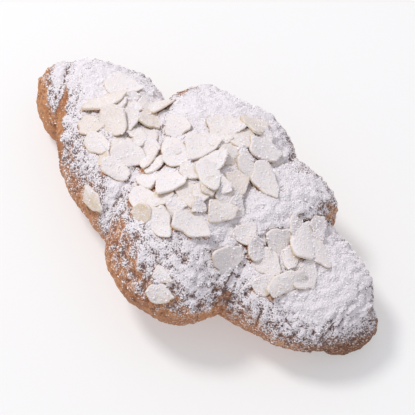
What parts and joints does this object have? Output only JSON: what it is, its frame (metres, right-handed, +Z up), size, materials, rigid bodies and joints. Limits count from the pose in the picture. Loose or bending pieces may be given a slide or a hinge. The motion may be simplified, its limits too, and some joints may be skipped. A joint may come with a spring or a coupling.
{
  "type": "almond croissant",
  "caption": "Baked almond croissant: fat middle wraps between tapering tips, flaked almonds on top, dusted with sugar, with a flat base.",
  "frame": {"origin": "middle of the bounding box in plan, on the flat underside at z = 0", "axes": "+X along the roll, towards the tip with the broad right shoulder; +Y across it, towards the back; +Z up"},
  "size_m": [0.1668, 0.0898, 0.0524],
  "materials": {
    "crust": "matte",
    "almond": "matte",
    "sugar": "matte"
  },
  "bodies": {
    "root": {"croissant": "crust"}
  },
  "joints": []
}
